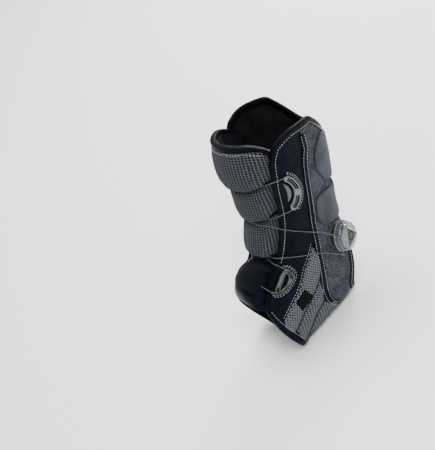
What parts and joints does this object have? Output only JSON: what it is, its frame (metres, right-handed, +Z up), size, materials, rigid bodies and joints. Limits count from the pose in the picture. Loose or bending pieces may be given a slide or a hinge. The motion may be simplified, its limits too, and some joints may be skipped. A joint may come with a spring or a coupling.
{
  "type": "ankle foot orthosis",
  "caption": "Soft lace-up ankle brace with an open heel, padded mesh tongue, dial-tightened wire lace and two wrap-round hook straps.",
  "frame": {"origin": "on the flat underside of the sole strap, in the middle of its width, below the front of the ankle", "axes": "+Z up along the leg, -Y towards the toes, +X towards the lateral (outer) side of a left foot"},
  "size_m": [0.0956, 0.1633, 0.2301],
  "materials": {
    "softshell": "smooth knitted softshell with a faint sheen",
    "loop_cloth": "heathered charcoal loop pile",
    "spacer_mesh": "open three-dimensional spacer mesh",
    "binding_tape": "folded edge tape with pale running stitches",
    "lining_cloth": "brushed lining",
    "strap_cloth": "smooth grey laminated strap",
    "hook_plastic": "black hook tape",
    "stay_plastic": "natural flexible stay",
    "guide_plastic": "satin light grey moulding",
    "reel_silver": "silver-grey satin moulding",
    "reel_dark": "dark olive-grey moulding",
    "lace_steel": "coated stranded steel lace",
    "label_satin": "blank black satin tab"
  },
  "bodies": {
    "brace": {"lateral_panel": "softshell", "medial_panel": "softshell", "lateral_rear_panel": "loop_cloth", "medial_rear_panel": "loop_cloth", "lateral_mesh_quarter": "spacer_mesh", "medial_mesh_quarter": "spacer_mesh", "achilles_panel": "loop_cloth", "sole_strap": "spacer_mesh", "lateral_front_binding": "binding_tape", "medial_front_binding": "binding_tape", "foot_binding": "binding_tape", "rear_top_binding": "binding_tape", "heel_binding": "binding_tape", "lateral_stay_tape": "binding_tape", "medial_stay_tape": "binding_tape", "lateral_stay_lining": "lining_cloth", "medial_stay_lining": "lining_cloth", "lateral_stay": "stay_plastic", "medial_stay": "stay_plastic", "tongue_upper_pad": "spacer_mesh", "tongue_middle_pad": "spacer_mesh", "tongue_lower_pad": "spacer_mesh", "tongue_instep_pad": "softshell", "tongue_lining": "lining_cloth", "tongue_top_binding": "binding_tape", "tongue_foot_binding": "binding_tape", "instep_cover": "softshell", "lateral_upper_guide": "guide_plastic", "medial_upper_guide": "guide_plastic", "lateral_guide_pad": "guide_plastic", "medial_guide_pad": "guide_plastic", "medial_middle_guide": "guide_plastic", "lateral_lower_guide": "guide_plastic", "medial_lower_guide": "guide_plastic", "reel_flange": "reel_dark", "reel_base": "reel_dark", "reel_housing": "reel_silver", "axle_screw": "reel_dark", "upper_strap_base": "strap_cloth", "lower_strap_base": "strap_cloth", "side_label": "label_satin", "lace": "lace_steel"},
    "dial_carrier": {"release_collar": "reel_dark"},
    "dial": {"reel_dial": "reel_dark", "pawl_ring": "reel_dark"},
    "spool": {"lace_spool": "reel_dark", "lace_winding": "lace_steel"},
    "upper_strap": {"upper_strap_tab": "strap_cloth", "upper_hook_patch": "hook_plastic"},
    "lower_strap": {"lower_strap_tab": "strap_cloth", "lower_hook_patch": "hook_plastic"}
  },
  "joints": [
    {"name": "dial_pull", "type": "slide", "parent": "brace", "child": "dial_carrier", "axis": [0.8683, 0.4931, -0.0536], "range_m": [0, 0.002]},
    {"name": "dial_turn", "type": "hinge", "parent": "dial_carrier", "child": "dial", "pos_m": [0.03068, 0.03806, 0.07392], "axis": [0.8683, 0.4931, -0.0536], "continuous": true},
    {"name": "spool_turn", "type": "hinge", "parent": "brace", "child": "spool", "pos_m": [0.03068, 0.03806, 0.07392], "axis": [0.8683, 0.4931, -0.0536], "continuous": true},
    {"name": "upper_strap_peel", "type": "hinge", "parent": "brace", "child": "upper_strap", "pos_m": [-0.02356, 0.074, 0.1478], "axis": [-0.0424, 0.3166, 0.9476], "range_deg": [0, 100]},
    {"name": "lower_strap_peel", "type": "hinge", "parent": "brace", "child": "lower_strap", "pos_m": [-0.02192, 0.06007, 0.1052], "axis": [-0.0271, 0.2938, 0.9555], "range_deg": [0, 100]}
  ],
  "couplings": [
    {"joint": "spool_turn", "follows": "dial_turn", "ratio": 1}
  ]
}
